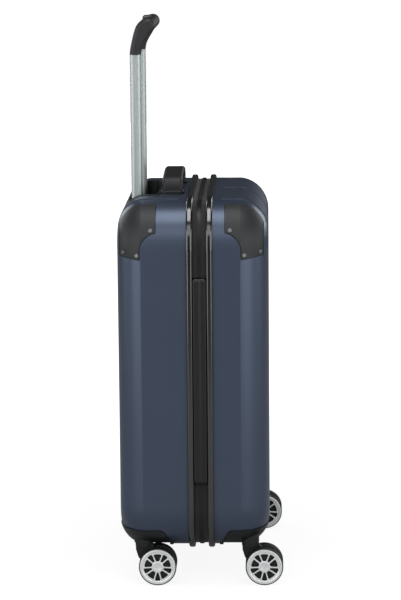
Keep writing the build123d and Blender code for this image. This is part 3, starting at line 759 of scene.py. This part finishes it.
STRAP_WIDE = 25 * MM
STRAP_THICK = 0.7 * MM
STRAP_GAP = 0.1 * MM
STRAP_SAG = 0.35 * MM
STRAP_WAVES = 9
STRAP_STEPS = 60


def packing_straps():
    """Two flat bands of webbing across the packing space, slightly wavy."""
    low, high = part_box("packing_straps")
    width = STRAP_WIDE
    edge = width / 2
    section = ((-edge, 0), (edge, 0), (edge, STRAP_THICK), (-edge, STRAP_THICK))
    count = len(section)
    verts = []
    faces = []
    for z in (low.z + edge, high.z - edge):
        base = len(verts)
        for i in range(STRAP_STEPS + 1):
            t = 2 * i / STRAP_STEPS - 1
            x = high.x * t
            sag = STRAP_SAG * math.sin(STRAP_WAVES * t)
            y = low.y + STRAP_GAP + abs(sag)
            for dz, dy in section:
                verts.append((x, y + dy, z + dz))
        faces += ring_faces(STRAP_STEPS + 1, count, base) + end_faces(STRAP_STEPS + 1, count, base)
    straps = mesh_piece("packing_straps_webbing", verts, faces, WEBBING, smooth=False)
    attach(straps, "rear_half")
    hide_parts("packing_straps")


# Light that comes from all around, and lamps as place, size and power, all aimed at one spot
AMBIENT_COLOUR = (0.95, 0.97, 1.0, 1)
AMBIENT = 0.045
LAMP_AIM = Vector((0, 0, 0.3))
LAMPS = {
    "camera_left": ((-1.45, 0.98, 0.72), (1.33, 1.4), 15.5),
    "camera_right": ((-1.45, -1.06, 0.72), (1.33, 1.4), 15.5),
    "camera_above": ((-1.7, 0.0, 1.8), (1.6, 0.9), 9.0),
    "overhead": ((-0.48, 0.0, 2.5), (1.3, 1.3), 27.0),
    "rear_side": ((-0.4, 2.8, 0.9), (1.8, 1.5), 21.0),
    "front_side": ((-0.4, -2.8, 0.9), (1.8, 1.5), 21.0),
    "far_rear": ((2.2, 2.0, 1.4), (1.5, 1.5), 24.0),
    "far_front": ((2.2, -2.0, 1.4), (1.5, 1.5), 24.0),
}

# Floor: how much of it shows its shadow, between two distances from the middle, and its own glow
FLOOR_SIZE = 14
FLOOR_Z = -0.5 * MM
FLOOR_COLOUR = (0.38, 0.38, 0.38, 1)
FLOOR_ROUGH = 0.9
SHADOW_SHARE = 0.36
SHADOW_NEAR = 0.35
SHADOW_FAR = 1.0
FLOOR_GLOW = 1.38


def surroundings(scene):
    """White for the camera, a little even light for everything else."""
    world = bpy.data.worlds.new("studio")
    scene.world = world
    world.use_nodes = True
    tree = world.node_tree
    backdrop = tree.nodes["Background"]
    path = tree.nodes.new("ShaderNodeLightPath")
    ambient = tree.nodes.new("ShaderNodeBackground")
    ambient.inputs["Color"].default_value = AMBIENT_COLOUR
    ambient.inputs["Strength"].default_value = AMBIENT
    backdrop.inputs["Color"].default_value = (1, 1, 1, 1)
    backdrop.inputs["Strength"].default_value = 1.0
    mix = tree.nodes.new("ShaderNodeMixShader")
    tree.links.new(path.outputs["Is Camera Ray"], mix.inputs[0])
    tree.links.new(ambient.outputs[0], mix.inputs[1])
    tree.links.new(backdrop.outputs[0], mix.inputs[2])
    tree.links.new(mix.outputs[0], tree.nodes["World Output"].inputs["Surface"])


def pale_floor():
    """Floor that is white for the camera, apart from part of the object's shadow."""
    floor_mat, tree, bsdf = new_material("pale_floor")
    bsdf.inputs["Base Color"].default_value = FLOOR_COLOUR
    bsdf.inputs["Roughness"].default_value = FLOOR_ROUGH
    path = tree.nodes.new("ShaderNodeLightPath")
    glow = tree.nodes.new("ShaderNodeEmission")
    glow.inputs["Strength"].default_value = FLOOR_GLOW
    coords = tree.nodes.new("ShaderNodeTexCoord")
    distance = tree.nodes.new("ShaderNodeVectorMath")
    distance.operation = "LENGTH"
    fade = tree.nodes.new("ShaderNodeMapRange")
    fade.inputs["From Min"].default_value = SHADOW_NEAR
    fade.inputs["From Max"].default_value = SHADOW_FAR
    fade.inputs["To Min"].default_value = 1 - SHADOW_SHARE
    fade.inputs["To Max"].default_value = 1.0
    share = tree.nodes.new("ShaderNodeMath")
    share.operation = "MULTIPLY"
    mix = tree.nodes.new("ShaderNodeMixShader")
    tree.links.new(coords.outputs["Object"], distance.inputs[0])
    tree.links.new(distance.outputs["Value"], fade.inputs["Value"])
    tree.links.new(path.outputs["Is Camera Ray"], share.inputs[0])
    tree.links.new(fade.outputs["Result"], share.inputs[1])
    tree.links.new(share.outputs[0], mix.inputs[0])
    tree.links.new(bsdf.outputs[0], mix.inputs[1])
    tree.links.new(glow.outputs[0], mix.inputs[2])
    tree.links.new(mix.outputs[0], tree.nodes["Material Output"].inputs["Surface"])
    bpy.ops.mesh.primitive_plane_add(size=FLOOR_SIZE, location=(0, 0, FLOOR_Z))
    floor = bpy.context.object
    floor.name = "floor"
    floor.data.materials.append(floor_mat)


def studio():
    """Plain surroundings, floor and soft lamps."""
    scene = bpy.context.scene
    scene.view_settings.view_transform = "Standard"
    surroundings(scene)
    pale_floor()
    for name, (place, size, power) in LAMPS.items():
        data = bpy.data.lights.new(name, "AREA")
        data.shape = "RECTANGLE"
        data.size, data.size_y = size
        data.energy = power
        lamp = bpy.data.objects.new(name, data)
        lamp.location = place
        lamp.visible_camera = False
        aim = LAMP_AIM - Vector(place)
        lamp.rotation_euler = aim.to_track_quat("-Z", "Y").to_euler()
        scene.collection.objects.link(lamp)


def camera():
    """Camera at the photograph's place, turned by yaw, pitch and roll."""
    data = bpy.data.cameras.new("view")
    data.sensor_fit = "AUTO"
    data.sensor_width = SENSOR_MM
    data.lens = FOCAL_PX * SENSOR_MM / IMAGE_HEIGHT_PX
    data.clip_end = CAMERA_CLIP
    cam = bpy.data.objects.new("view", data)
    bpy.context.scene.collection.objects.link(cam)
    ahead = Vector((1, 0, 0))
    right = Vector((0, -1, 0))
    up = Vector((0, 0, 1))
    f1 = math.cos(CAMERA_YAW) * ahead + math.sin(CAMERA_YAW) * right
    r1 = -math.sin(CAMERA_YAW) * ahead + math.cos(CAMERA_YAW) * right
    forward = math.cos(CAMERA_PITCH) * f1 - math.sin(CAMERA_PITCH) * up
    u2 = math.sin(CAMERA_PITCH) * f1 + math.cos(CAMERA_PITCH) * up
    r3 = math.cos(CAMERA_ROLL) * r1 + math.sin(CAMERA_ROLL) * u2
    u3 = -math.sin(CAMERA_ROLL) * r1 + math.cos(CAMERA_ROLL) * u2
    turn = Matrix((r3, u3, -forward)).transposed().to_4x4()
    cam.matrix_world = Matrix.Translation(CAMERA_AT) @ turn
    bpy.context.scene.camera = cam


dress_nodes()
for half_name, half_sign in (("rear", 1), ("front", -1)):
    zip_half(half_name, half_sign)
hub_caps()
hinge_strip()
lining("rear", 1)
lining("front", -1)
toe_ribs()
packing_straps()
studio()
camera()
